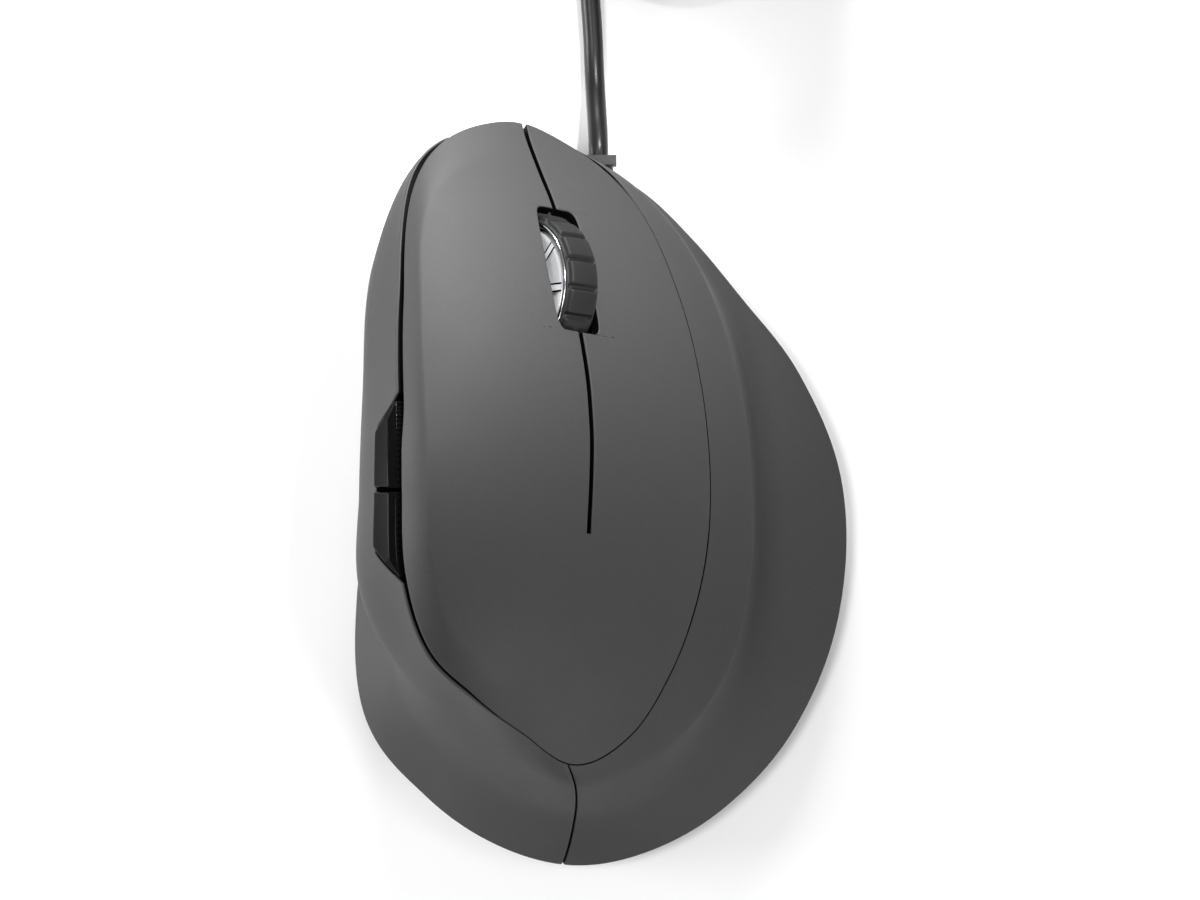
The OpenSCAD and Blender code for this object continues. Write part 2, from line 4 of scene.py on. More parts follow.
import bpy
import numpy as np
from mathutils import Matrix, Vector


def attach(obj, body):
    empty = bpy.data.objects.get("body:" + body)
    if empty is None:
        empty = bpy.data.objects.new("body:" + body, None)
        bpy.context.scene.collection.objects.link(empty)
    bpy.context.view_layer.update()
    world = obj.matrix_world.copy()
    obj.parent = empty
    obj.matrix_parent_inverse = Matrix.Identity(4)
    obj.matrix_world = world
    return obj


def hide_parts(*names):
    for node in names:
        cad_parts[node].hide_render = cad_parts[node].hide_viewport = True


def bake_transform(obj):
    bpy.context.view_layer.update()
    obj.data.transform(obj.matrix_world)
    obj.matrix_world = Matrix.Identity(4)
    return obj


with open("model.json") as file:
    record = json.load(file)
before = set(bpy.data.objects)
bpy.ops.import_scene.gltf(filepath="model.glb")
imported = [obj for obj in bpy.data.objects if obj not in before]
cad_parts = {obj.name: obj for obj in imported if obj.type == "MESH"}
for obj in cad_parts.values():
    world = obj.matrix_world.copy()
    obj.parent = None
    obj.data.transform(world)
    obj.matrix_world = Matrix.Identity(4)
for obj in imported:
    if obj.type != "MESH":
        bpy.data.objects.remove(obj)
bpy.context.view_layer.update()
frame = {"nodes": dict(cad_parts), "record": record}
MM = 0.001


# ---------------------------------------------------------------- helpers
def add(name, data):
    """A new object in the scene that shows the data."""
    thing = bpy.data.objects.new(name, data)
    bpy.context.scene.collection.objects.link(thing)
    return thing


def unit(v):
    return v / np.linalg.norm(v, axis=-1, keepdims=True)


def smooth(x):
    """An eased step from 0 to 1."""
    x = np.clip(x, 0, 1)
    return x * x * (3 - 2 * x)


def spline(a, b, c, d, f):
    """The smooth span from b (f = 0) to c (f = 1) on a curve through all four."""
    return 0.5 * (a * (-f + 2 * f**2 - f**3) + b * (2 - 5 * f**2 + 3 * f**3)
                  + c * (f + 4 * f**2 - 3 * f**3) + d * (-f**2 + f**3))


# ---------------------------------------------------------------- camera and cord


def camera():
    data = bpy.data.cameras.new("camera")
    data.lens = 131
    data.sensor_width = 36
    cam = add("camera", data)
    cam.location = (0, 0.0082, 0.735)
    bpy.context.scene.camera = cam


CORD_DIAMETER = 3.3
COIL_AT = (18.6, 112.0)
COIL_MEAN = 18.8
COIL_COLUMNS = 3
COIL_LAYERS = 4
COIL_BASE = 0.6
EXIT = (-0.3, 57.2, 7.0)
ROUTE_OUT = [EXIT, (-0.3, 59, 6.9), (-0.4, 62, 5.8), (-0.6, 65.5, 4), (-0.8, 69, 2.5),
             (-1, 73, 1.8), (-1.2, 78, 1.65), (-1.8, 86, 1.65), (-2.8, 95, 1.7),
             (-3.4, 103, 2.1), (-3.5, 110, 2.25), (-3.5, 113, 2.25)]
ROUTE_IN = [(-3.5, 112, 12.1), (-3.5, 117, 11.9), (-3.4, 122, 10), (-3.3, 127, 7),
            (-3.2, 132, 4.7), (-3.2, 135, 4.1), (-3.2, 138, 4)]


def through(route, per_span=6):
    """A smooth line through the route's points."""
    p = np.array(route, float)
    p = np.vstack([p[0], p, p[-1]])
    f = np.linspace(0, 1, per_span, endpoint=False)[:, None]
    spans = [spline(*p[i:i + 4], f) for i in range(len(p) - 3)]
    return np.vstack(spans + [p[-1:]])


def coil_line(per_turn=36):
    """Turns laid inwards and outwards in alternate layers, each a diameter from the next."""
    turns = COIL_COLUMNS * COIL_LAYERS
    outer = COIL_MEAN + (COIL_COLUMNS - 1) / 2 * CORD_DIAMETER
    points = []
    for i in range(1, turns * per_turn):
        turn = i // per_turn
        part = i / per_turn - turn
        shift = max(0.0, (part - 0.8) / 0.2)
        shift = shift * shift * (3 - 2 * shift)
        layer, place = divmod(turn, COIL_COLUMNS)
        later, beyond = divmod(min(turn + 1, turns - 1), COIL_COLUMNS)
        here = place if layer % 2 == 0 else COIL_COLUMNS - 1 - place
        there = beyond if later % 2 == 0 else COIL_COLUMNS - 1 - beyond
        r = outer - CORD_DIAMETER * (here + (there - here) * shift)
        z = COIL_BASE + CORD_DIAMETER * (0.5 + layer + (later - layer) * shift)
        a = math.pi - 2 * math.pi * i / per_turn
        points.append((COIL_AT[0] + r * math.cos(a), COIL_AT[1] + r * math.sin(a), z))
    return np.array(points)


def cord(plug_pieces):
    line = np.vstack([through(ROUTE_OUT[:-1])[:-1], coil_line(), through(ROUTE_IN)])
    curve = bpy.data.curves.new("cord", "CURVE")
    curve.dimensions = "3D"
    curve.bevel_depth = 1
    curve.bevel_resolution = 5
    spline = curve.splines.new("POLY")
    spline.points.add(len(line) - 1)
    for point, place in zip(spline.points, line):
        point.co = (*(place * MM), 1)
        point.radius = CORD_DIAMETER / 2 * MM
    piece = add("cord", curve)
    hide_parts("cable", "cable_end", "cable_coil")
    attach(piece, "base")
    return piece


# ---------------------------------------------------------------- materials


def material(name, colour, rough, metallic=0.0, grain=900.0, bump=0.06, vary=0.08,
             specular=0.5, transmission=0.0):
    """A finish whose colour, roughness and surface all vary a little with a fine grain."""
    mat = bpy.data.materials.new(name)
    mat.use_nodes = True
    nodes, links = mat.node_tree.nodes, mat.node_tree.links
    shader = nodes["Principled BSDF"]
    shader.inputs["Metallic"].default_value = metallic
    shader.inputs["Specular IOR Level"].default_value = specular
    shader.inputs["Transmission Weight"].default_value = transmission
    where = nodes.new("ShaderNodeTexCoord")

    def noise(scale, detail):
        node = nodes.new("ShaderNodeTexNoise")
        node.inputs["Scale"].default_value = scale
        node.inputs["Detail"].default_value = detail
        links.new(where.outputs["Object"], node.inputs["Vector"])
        return node.outputs["Fac"]

    def spread(value, low, high):
        node = nodes.new("ShaderNodeMapRange")
        node.inputs["From Min"].default_value = 0.3
        node.inputs["From Max"].default_value = 0.7
        node.inputs["To Min"].default_value = low
        node.inputs["To Max"].default_value = high
        links.new(value, node.inputs["Value"])
        return node.outputs["Result"]

    fine, broad = noise(grain, 2.0), noise(60.0, 3.0)
    mix = nodes.new("ShaderNodeMix")
    mix.data_type = "RGBA"
    mix.inputs["A"].default_value = (*[c * (1 - vary) for c in colour], 1)
    mix.inputs["B"].default_value = (*[min(1, c * (1 + vary)) for c in colour], 1)
    links.new(spread(fine, 0, 1), mix.inputs["Factor"])
    links.new(mix.outputs["Result"], shader.inputs["Base Color"])
    links.new(spread(broad, rough * 0.93, min(1, rough * 1.07)), shader.inputs["Roughness"])
    if bump:
        node = nodes.new("ShaderNodeBump")
        node.inputs["Strength"].default_value = bump
        node.inputs["Distance"].default_value = 0.0001
        links.new(fine, node.inputs["Height"])
        links.new(node.outputs["Normal"], shader.inputs["Normal"])
    return mat


FINISHES = {
    "soft_shell": material("soft_shell", (0.03, 0.03, 0.0304), 0.62, grain=2200, bump=0.12,
                           vary=0.06, specular=0.35),
    "base_plastic": material("base_plastic", (0.03, 0.03, 0.032), 0.55, bump=0.2),
    "gloss_black": material("gloss_black", (0.003, 0.003, 0.0032), 0.12, bump=0.01, specular=0.03),
    # painted shade: a near-black colour standing in for the shade in seams, the slit, panel
    # insides, the hub's recess and grooves and the plug's windows
    "painted_shade_black": material("painted_shade_black", (0.0015, 0.0015, 0.0015), 0.5, bump=0.05, specular=0.06),
    "black_plastic": material("black_plastic", (0.02, 0.02, 0.022), 0.45),
    "tread_rubber": material("tread_rubber", (0.008, 0.008, 0.0082), 0.55, bump=0.2, specular=0.2),
    "hub_metal": material("hub_metal", (0.72, 0.73, 0.75), 0.16, metallic=1, bump=0.02, vary=0.03),
    "hub_face": material("hub_face", (0.8, 0.81, 0.83), 0.3, metallic=0.35, bump=0.02, vary=0.03),
    "contact_gold": material("contact_gold", (0.75, 0.5, 0.15), 0.25, metallic=1, bump=0.02),
    "pin_steel": material("pin_steel", (0.55, 0.55, 0.57), 0.3, metallic=1),
    "plug_metal": material("plug_metal", (0.7, 0.7, 0.72), 0.24, metallic=1, bump=0.03),
    "clear_lens": material("clear_lens", (0.9, 0.94, 0.98), 0.06, bump=0, vary=0.01,
                           transmission=0.9),
    "circuit_board": material("circuit_board", (0.008, 0.02, 0.014), 0.35, grain=300, vary=0.2),
    "cord_jacket": material("cord_jacket", (0.009, 0.009, 0.0093), 0.34, grain=1500, bump=0.1,
                            specular=0.35),
    "gland_rubber": material("gland_rubber", (0.022, 0.022, 0.023), 0.5),
    "plug_plastic": material("plug_plastic", (0.025, 0.025, 0.027), 0.4, bump=0.15),
    "tie_plastic": material("tie_plastic", (0.03, 0.03, 0.03), 0.8, grain=500, bump=0.5),
    "ivory_plastic": material("ivory_plastic", (0.7, 0.67, 0.58), 0.45),
    "plunger_red": material("plunger_red", (0.4, 0.03, 0.02), 0.4),
    "foot_plastic": material("foot_plastic", (0.045, 0.045, 0.05), 0.28, grain=1200, bump=0.08),
}
SLOT_OF = {s["node"]: s["material_slot"] for s in frame["record"]["subparts"]}
for node_name, node in frame["nodes"].items():
    node.data.materials.clear()
    node.data.materials.append(FINISHES[SLOT_OF[node_name]])


# ---------------------------------------------------------------- the body's skin
# The same table of offsets as the CAD: every 18 degrees the seam radius, bevel drop,
# shoulder radius and height, groove radius and height, flare radius and height, in mm.
SKIN_AT = np.array([-4.0, 2.0])
STRETCH = 1.5
FLOOR_Z = 2.4
WALL = 1.8
BEVEL_WIDTH = 4.8
BEVEL_CURVE = 1.4
UNDERCUT = 0.8
STATIONS = np.array([
    [22, 0, 29, 19.5, 31.5, 10, 44.6, 4.5],
    [22.5, 0, 29, 18.5, 31.2, 9, 39.6, 4.5],
    [24.3, 0, 30, 17, 31.6, 8.5, 35, 4.5],
    [27.6, 0, 32, 15.5, 32.2, 8.5, 33.8, 4.5],
    [32.5, 0.3, 34.3, 14.5, 34, 8.5, 34.8, 4.5],
    [37, 0.8, 37, 15.5, 36.3, 9.5, 36.4, 5.5],
    [41.9, 1.5, 40.8, 22, 38.8, 12.5, 38.6, 6],
    [42.9, 2.5, 43.3, 29, 40, 16, 40.6, 6],
    [34.2, 3.5, 40, 38.5, 34, 19, 37.5, 6],
    [28.9, 3.8, 35.4, 41.5, 29, 19.5, 34, 6.5],
    [27.3, 4, 34.2, 42.5, 27.8, 20, 33, 7],
    [28.1, 4, 35.8, 42.5, 31, 20, 38.3, 8.5],
    [28.5, 2.6, 33.4, 40.5, 36.2, 22, 43.3, 9.5],
    [27, 1, 30, 39.5, 35.8, 22, 42.4, 8.5],
    [27.1, 0.3, 30.2, 36.5, 35.4, 20.5, 41.9, 7],
    [29.6, 0, 32, 31.3, 35.9, 18.5, 42.1, 6],
    [28.2, 0, 31.6, 27, 36.4, 15.8, 42.4, 5.5],
    [25.5, 0, 31.9, 24, 36.1, 13.2, 43.6, 5],
    [23.6, 0, 31.6, 21.5, 35.2, 11.5, 45.4, 4.5],
    [22.5, 0, 30.2, 20, 33.2, 10, 46.2, 4.5]])


def offsets(a):
    a = np.asarray(a, float) / 18
    i = np.floor(a).astype(int)
    f = (a - i)[..., None]
    at = lambda k: STATIONS[(i + k) % len(STATIONS)]
    return spline(at(-1), at(0), at(1), at(2), f)


def polar(a, r):
    t = np.radians(a)
    return SKIN_AT + np.stack([r * np.cos(t), STRETCH * r * np.sin(t)], -1)


def face(x, y):
    """Height of the sloping face before its bevel."""
    u, v = (x + 4) / 20, y / 50
    return (49.5 - 15.5 * u + v - 4.5 * u**2 + u * v - 18.5 * v**2 - 2.5 * u**2 * v
            - u * v**2 - v**3 - 1.5 * v**4 - 4 * u * v**3)


def bevelled(x, y):
    dx, dy = x - SKIN_AT[0], (y - SKIN_AT[1]) / STRETCH
    o = offsets(np.degrees(np.arctan2(dy, dx)))
    e = np.maximum(0, (np.hypot(dx, dy) - o[..., 0] + BEVEL_WIDTH) / BEVEL_WIDTH)
    return face(x, y) - o[..., 1] * e**BEVEL_CURVE


def on_face(xy):
    """Points and normals of the face over points of the plan."""
    x, y, d = xy[..., 0], xy[..., 1], 0.1
    normal = np.stack([bevelled(x - d, y) - bevelled(x + d, y),
                       bevelled(x, y - d) - bevelled(x, y + d), np.full(x.shape, 2 * d)], -1)
    return np.stack([x, y, bevelled(x, y)], -1), unit(normal)


def hermite(p, q, m, n, f):
    return (p * (1 - 3 * f**2 + 2 * f**3) + q * (3 * f**2 - 2 * f**3)
            + m * (f - 2 * f**2 + f**3) + n * (f**3 - f**2))


def skirt(a, t):
    """The side wall at an angle, from the seam (0) over shoulder and groove to the base (1)."""
    o, t = offsets(a), np.asarray(t, float)[..., None]
    seam = polar(a, o[..., 0])
    p0 = np.stack([o[..., 0], face(seam[..., 0], seam[..., 1]) - o[..., 1]], -1)
    p1, p2, p3 = o[..., 2:4], o[..., 4:6], o[..., 6:8]
    p4 = np.stack([o[..., 6] - UNDERCUT, np.full(o.shape[:-1], FLOOR_Z)], -1)
    roundness = 0.4 - 0.28 * smooth((np.cos(np.radians(a + 5)) - 0.3) / 0.4)
    m1, m2 = (p2 - p0) * roundness[..., None], (p3 - p1) * 0.4
    q = np.where(t < 0.3, hermite(p0, p1, p1 - p0, m1, t / 0.3),
        np.where(t < 0.6, hermite(p1, p2, m1, m2, (t - 0.3) / 0.3),
        np.where(t < 0.9, hermite(p2, p3, m2, p3 - p2, (t - 0.6) / 0.3),
                 p3 + (p4 - p3) * (t - 0.9) / 0.1)))
    return np.concatenate([polar(a, q[..., 0]), q[..., 1:]], -1)


def on_skirt(a, t):
    up = np.clip(t, 0.006, 0.894)
    normal = np.cross(skirt(a, up + 0.005) - skirt(a, up - 0.005),
                      skirt(a + 0.2, t) - skirt(a - 0.2, t))
    return skirt(a, t), unit(normal)


def crowded(n, edge=(0, 0.003, 0.007, 0.012, 0.02, 0.03)):
    """Steps from 0 to 1, close together at both ends, where the lips are."""
    inner = np.linspace(0.045, 0.955, n)
    low = np.array(edge)
    return np.concatenate([low, inner, 1 - low[::-1]])


def rim_share(a):
    """1 along the left, where the cover stands free in its groove, and 0 on the right."""
    a = np.mod(a, 360)
    return smooth((a - 96) / 20) * smooth((248 - a) / 20)


def lip_radius(line, radius):
    """The lip's radius along an edge: finer where the cover meets the right shell."""
    dx, dy = line[:, 0] - SKIN_AT[0], (line[:, 1] - SKIN_AT[1]) / STRETCH
    a = np.degrees(np.arctan2(dy, dx))
    at_rim = np.abs(np.hypot(dx, dy) - offsets(a)[:, 0]) < 1.3
    return np.where(at_rim, radius * (0.3 + 0.7 * rim_share(a)), 0.6 * radius)


def refine(line, gap):
    """Points along a line at small even steps; further columns are carried along."""
    along = np.concatenate([[0], np.cumsum(np.linalg.norm(np.diff(line[:, :3], axis=0), axis=1))])
    at = np.linspace(0, along[-1], int(along[-1] / gap) + 2)
    return np.stack([np.interp(at, along, column) for column in line.T], -1)


def edge_lines(p, n):
    """The four edges of a panel: points, surface normals and the way out of the panel."""
    lines = {}
    for name, first, second in (("low", np.s_[0], np.s_[1]), ("high", np.s_[-1], np.s_[-2]),
                                ("left", np.s_[:, 0], np.s_[:, 1]),
                                ("right", np.s_[:, -1], np.s_[:, -2])):
        away = np.cross(np.gradient(p[first], axis=0), n[first])
        away = away / np.maximum(np.linalg.norm(away, axis=-1, keepdims=True), 1e-9)
        out = ((p[first] - p[second]) * away).sum() > 0
        lines[name] = p[first], n[first], away if out else -away
    return lines


def rounded(p, n, lines, radius):
    """The panel with rounded lips along the given edges, and its normals there."""
    edge = np.concatenate([refine(np.hstack([line, away]), 0.12) for line, _, away in lines])
    at, away = edge[:, :3], unit(edge[:, 3:])
    size = lip_radius(at, radius)
    flat, up = p.reshape(-1, 3), n.reshape(-1, 3)
    drop, lean = np.zeros(len(flat)), np.zeros(flat.shape)
    for part in np.array_split(np.arange(len(flat)), len(flat) // 400 + 1):
        gap = at[None] - flat[part][:, None]
        nearest = (gap**2).sum(-1).argmin(1)
        gap = gap[np.arange(len(part)), nearest]
        across = (gap * away[nearest]).sum(-1)
        along = np.sqrt(np.maximum(0, (gap**2).sum(-1) - across**2))
        r = size[nearest]
        share = np.maximum(0, 1 - np.hypot(across, np.maximum(0, along - 0.07)) / r)
        drop[part] = r * (1 - np.sqrt(1 - share**2))
        lean[part] = away[nearest] * share[:, None]
    height = np.sqrt(np.maximum(0, 1 - (lean**2).sum(-1, keepdims=True)))
    return ((flat - up * drop[:, None]).reshape(p.shape),
            unit(up * height + lean).reshape(p.shape))


def grid_normals(p, guide):
    """Normals of a grid of points, facing the same way as the guide."""
    n = np.cross(np.gradient(p, axis=0), np.gradient(p, axis=1))
    n = n / np.maximum(np.linalg.norm(n, axis=-1, keepdims=True), 1e-12)
    return n * np.where((n * guide).sum(-1, keepdims=True) < 0, -1, 1)


class Mesh:
    """Collects grids of points into one mesh that keeps their own normals."""

    def __init__(self):
        self.points, self.normals, self.faces, self.slots = [], [], [], []

    def grid(self, p, n, closed=False, slot=0):
        start = sum(len(x) for x in self.points)
        rows, cols = p.shape[:2]
        self.points.append(p.reshape(-1, 3))
        self.normals.append(np.broadcast_to(n, p.shape).reshape(-1, 3))
        across = np.cross(p[1:, :-1] - p[:-1, :-1], p[:-1, 1:] - p[:-1, :-1])
        flip = (across * np.broadcast_to(n, p.shape)[:-1, :-1]).sum() < 0
        for i in range(rows - (0 if closed else 1)):
            for j in range(cols - 1):
                a, b = start + i * cols + j, start + (i + 1) % rows * cols + j
                quad = (a, b, b + 1, a + 1)
                self.faces.append(quad[::-1] if flip else quad)
                self.slots.append(slot)

    def piece(self, name, *finishes):
        data = bpy.data.meshes.new(name)
        data.from_pydata((np.concatenate(self.points) * MM).tolist(), [], self.faces)
        data.polygons.foreach_set("use_smooth", [True] * len(data.polygons))
        data.normals_split_custom_set_from_vertices(unit(np.concatenate(self.normals)).tolist())
        for finish in finishes:
            data.materials.append(FINISHES[finish])
        data.polygons.foreach_set("material_index", self.slots)
        return add(name, data)


def shell(name, p, n, lips, finish, wall=WALL, radius=0.35, normals=None):
    """A moulded panel: its coated outside with rounded lips, and rims and inside in near-black
    painted shade, for the dark gaps between panels.
    lips names the edges: low, high (rows), left, right (columns)."""
    lines = edge_lines(p, n)
    outer, lean = rounded(p, n if normals is None else normals, [lines[e] for e in lips], radius)
    made = Mesh()
    made.grid(outer, lean)
    inner = p - n * wall
    # the inside and the rim walls below get the near-black painted shade (slot 1), so seams and the
    # slit look dark
    made.grid(inner, -n, slot=1)
    for e, (row, _, away) in edge_lines(outer, n).items():
        low = {"low": inner[0], "high": inner[-1], "left": inner[:, 0], "right": inner[:, -1]}[e]
        made.grid(np.stack([row, low]), np.stack([away, away]), slot=1)
    return made.piece(name, finish, "painted_shade_black")


# ---------------------------------------------------------------- panel outlines
TAIL_SEAM = 268.0
TAIL_REACH = 30.0
CORNER_SEAM = 118.0
HINGE_LEFT = 190.4
HINGE_RIGHT = 348.0
HINGE_Y = -5.0
PALM_LEFT = 236.0
PALM_RIGHT = 306.0
SLIT_TOP = 102.0
SLIT_HALF = 0.325
GAP = 0.45
TIGHT_GAP = 0.12
BAY_FRONT = 160.0
BAY_REAR = 200.0
BAY_LEAN = 8.0
BAY_DEPTH = 0.125
BAY_MIDDLE = 180.0
SEAM_T = 0.008
NOSE_T = 0.16
SLIT_LINE = np.array([[-5, -1.7], [2, -1.3], [10, -1.1], [19, -1.7], [27, -3], [46.8, -7],
                      [53, -9.6], [61, -12.5]])
SLOT_Y = 36.9
SLOT_HALF_LENGTH = 10.0
SLOT_HALF_WIDTH = 3.3
SLOT_SHEAR = 0.16


def side_gap(a):
    """The gap round the cover: tight on the right, open in the groove, widest by the nose."""
    a = np.mod(a, 360)
    wider = 0.5 * smooth((a - 118) / 10) * smooth((172 - a) / 12)
    return TIGHT_GAP + (GAP - TIGHT_GAP) * rim_share(a) + wider


def shell_top(a):
    """How far down the wall the shells begin: lower at the nose and at the buttons' bay."""
    a = np.mod(a, 360)
    nose = smooth((a - 72) / 16) * smooth((135 - a) / 20)
    bay = np.clip((a - BAY_FRONT) / BAY_LEAN, 0, 1) * np.clip((BAY_REAR - a) / BAY_LEAN, 0, 1)
    return 0.002 + (SEAM_T - 0.002) * rim_share(a) + NOSE_T * nose + BAY_DEPTH * bay


def seam_edge(a, inset=None):
    return polar(a, offsets(a)[..., 0] - (side_gap(a) if inset is None else inset))


def slit_x(y):
    """The slit's middle line, smoothed through its points."""
    wide = np.interp(y[..., None] + np.linspace(-3, 3, 13), SLIT_LINE[:, 0], SLIT_LINE[:, 1])
    return wide.mean(-1)


def slot_open(y):
    r = np.minimum(np.abs(y - SLOT_Y) / SLOT_HALF_LENGTH, 1)
    return np.maximum(SLIT_HALF, SLOT_HALF_WIDTH * (1 - r**8) ** 0.125)


def coons(low, high, left, right, u, v):
    """A patch of the plan between four edges, each a function of 0 to 1."""
    a, b, c, d = low(u)[None], high(u)[None], left(v)[:, None], right(v)[:, None]
    u, v = u[None, :, None], v[:, None, None]
    return ((1 - v) * a + v * b + (1 - u) * c + u * d - (1 - u) * (1 - v) * a[:, :1]
            - u * (1 - v) * a[:, -1:] - (1 - u) * v * b[:, :1] - u * v * b[:, -1:])


def straight(p, q):
    return lambda f: p + (q - p) * f[:, None]


def palm():
    """The cover's skin behind the two buttons."""
    ends = seam_edge(np.array([HINGE_LEFT, HINGE_RIGHT]))
    ends[:, 1] = HINGE_Y
    xy = coons(straight(ends[0], ends[1]),
               lambda f: seam_edge(PALM_LEFT + (PALM_RIGHT - PALM_LEFT) * f),
               lambda f: seam_edge(HINGE_LEFT + (PALM_LEFT - HINGE_LEFT) * f),
               lambda f: seam_edge(HINGE_RIGHT + (PALM_RIGHT - HINGE_RIGHT) * f),
               crowded(60), crowded(50))
    xy[0, :, 1] = HINGE_Y
    p, n = on_face(xy)
    piece = shell("palm_cover", p, n, ("high", "left", "right"), "soft_shell")
    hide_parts("top_cover")
    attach(piece, "base")
    return piece


def button_rows(tip):
    """Heights along the slit, crowded at the slot's two ends and at the nose."""
    near = np.array([0.0001, 0.003, 0.02, 0.05, 0.1, 0.18, 0.28, 0.4, 0.55, 0.75, 1.0])
    rows = [np.linspace(HINGE_Y, tip, 110), tip - np.array([0.05, 0.1, 0.18, 0.3, 0.5]),
            SLOT_Y + (SLOT_HALF_LENGTH - 1) * np.linspace(-1, 1, 40)]
    for end in (-1, 1):
        rows.append(SLOT_Y + end * (SLOT_HALF_LENGTH + np.concatenate([[0], near[2:], -near])))
    return np.unique(np.round(np.concatenate(rows), 5))


def open_slot(xy, side):
    """Parts a panel's skin round the wheel slot, whose ends lean a little."""
    x, y = xy[..., 0], xy[..., 1]
    reach = np.maximum(0, side * (x - slit_x(y)) - SLIT_HALF)
    x = x + side * (slot_open(y) - SLIT_HALF) * np.clip(1 - reach / 9, 0, 1)
    off = x - slit_x(y)
    lean = (1 - smooth((np.abs(off) - 4) / 8)) * (1 - smooth((np.abs(y - SLOT_Y) - 11) / 5))
    return np.stack([x, y - SLOT_SHEAR * off * lean], -1)


def main_button(side, body):
    """A button's skin: a patch between hinge, nose, rim and slit, opened round the wheel."""
    start = HINGE_LEFT if side < 0 else HINGE_RIGHT - 360
    corner = 124.0 if side < 0 else 62.0
    tip = seam_edge(np.array(SLIT_TOP), 0.0)[1] - 0.2
    rows = button_rows(tip)
    rim = lambda f: seam_edge(start + (corner - start) * f)

    def slit(f):
        y = HINGE_Y + (tip - HINGE_Y) * f
        return np.stack([slit_x(y) + side * SLIT_HALF, y], -1)

    first, cut = rim(np.zeros(1))[0], slit(np.array([0.0, 1.0]))
    first[1] = HINGE_Y

    def nose(f):
        edge = seam_edge(corner + (SLIT_TOP - side * 0.3 - corner) * f, side_gap(corner) * (1 - f))
        pull = f[:, None] ** 8
        return edge * (1 - pull) + cut[1] * pull

    low = straight(first, cut[0])
    edges = (low, nose, rim, slit) if side < 0 else (
        lambda f: low(1 - f), lambda f: nose(1 - f), slit, rim)
    xy = coons(*edges, crowded(50), (rows - HINGE_Y) / (tip - HINGE_Y))
    xy[0, :, 1] = HINGE_Y
    p, n = on_face(open_slot(xy, side))
    piece = shell(f"{body}_skin", p, n, ("high", "left", "right"), "soft_shell")
    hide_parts(body)
    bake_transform(piece)
    return piece


def skirt_shell(node, a):
    """The side wall's skin over a range of angles, with the seam bent at the tail."""
    down = np.concatenate([[0, 0.004, 0.009, 0.016, 0.026, 0.04], np.linspace(0.06, 0.98, 60), [1]])
    aa = a[:, None] + 0 * down[None]
    tt = shell_top(aa) + (0.9 - shell_top(aa)) * down[None]
    foot = np.full((len(a), 3), [0.93, 0.965, 1.0])
    tt = np.concatenate([tt, foot], 1)
    aa = np.concatenate([aa, a[:, None] + 0 * foot], 1)
    near_tail = np.minimum(np.abs(aa - TAIL_SEAM), np.abs(aa - TAIL_SEAM + 360))
    aa = aa + (11 * tt * (1 - tt) - 2.5 * tt**3) * smooth(1 - near_tail / TAIL_REACH)
    p, n = on_skirt(aa, tt)
    piece = shell(f"{node}_skin", p, n, ("low", "high", "left"), "soft_shell", wall=1.2)
    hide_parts(node)
    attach(piece, "base")
    return piece


def side_button(node, a0, a1, facet):
    """A glossy key with a long facet at its outer end and a narrow one along the groove."""
    rows, cols = crowded(70), crowded(30)
    a = (a0 + (a1 - a0) * rows)[:, None] + 0 * cols[None]
    end = np.maximum(0, BAY_FRONT + BAY_LEAN + 0.7 - a) if a.mean() < BAY_MIDDLE \
        else np.maximum(0, a - BAY_REAR + BAY_LEAN + 0.7)
    bottom = SEAM_T + BAY_DEPTH * (1 - end / BAY_LEAN) - 0.008
    t = SEAM_T + (bottom - SEAM_T) * cols[None]
    p, n = on_skirt(a, t)

    def far(line):
        line = refine(line, 0.15)
        return np.sqrt(((p[:, :, None] - line[None, None]) ** 2).sum(-1).min(-1))

    outer_end, middle = (p[0], p[-1]) if facet == "low" else (p[-1], p[0])
    rise = np.minimum.reduce([far(outer_end) / 3.6 + 0.12, far(p[:, 0]) / 1.3 + 0.15,
                              far(p[:, -1]) / 0.9 + 0.05, far(middle) / 0.5 + 0.5])
    p = p + n * (1.1 * np.minimum(1, rise))[..., None]
    piece = shell(f"{node}_key", p, n, ("low", "high", "left", "right"), "gloss_black",
                  wall=2.6, radius=0.2, normals=grid_normals(p, n))
    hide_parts(node)
    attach(piece, node)
    return piece


# ---------------------------------------------------------------- wheel
WHEEL_X = -4.8
AXLE_AIM = np.array([0.794, -0.1, -0.6])
WHEEL_DEPTH = 8.5
WHEEL_RADIUS = 12.3
WHEEL_WIDTH = 6.6
TREAD_INSET = 0.2
HUB_RADIUS = 11.2
TREADS = 16
RIBS = 8


def wheel_axes():
    """The wheel's turn (axle, forward, outward) and its centre, both set by the face."""
    top, n = on_face(np.array([WHEEL_X, SLOT_Y]))
    axle = unit(AXLE_AIM - (AXLE_AIM @ n) * n)
    return np.stack([axle, np.cross(n, axle), n], 1), top - WHEEL_DEPTH * n


WHEEL_TURN, WHEEL_AT = wheel_axes()


def revolve(made, profile, steps, cut=None, slot=0):
    """Turns a profile of (x, r) round the axle; cut says how deep its grooves are."""
    a = np.linspace(0, 2 * np.pi, steps, endpoint=False)
    x = np.broadcast_to(profile[:, 0], (steps, len(profile)))
    r = np.broadcast_to(profile[:, 1], x.shape)
    if cut:
        r = r - cut(a[:, None], x)
    p = np.stack([x, r * np.cos(a[:, None]), r * np.sin(a[:, None])], -1)
    wrapped = np.concatenate([p[-1:], p, p[:1]])
    n = np.cross(np.gradient(wrapped, axis=0), np.gradient(wrapped, axis=1))[1:-1]
    n = n / np.maximum(np.linalg.norm(n, axis=-1, keepdims=True), 1e-9)
    turn = lambda v: v @ WHEEL_TURN.T
    made.grid(turn(p) + WHEEL_AT, turn(-n), closed=True, slot=slot)


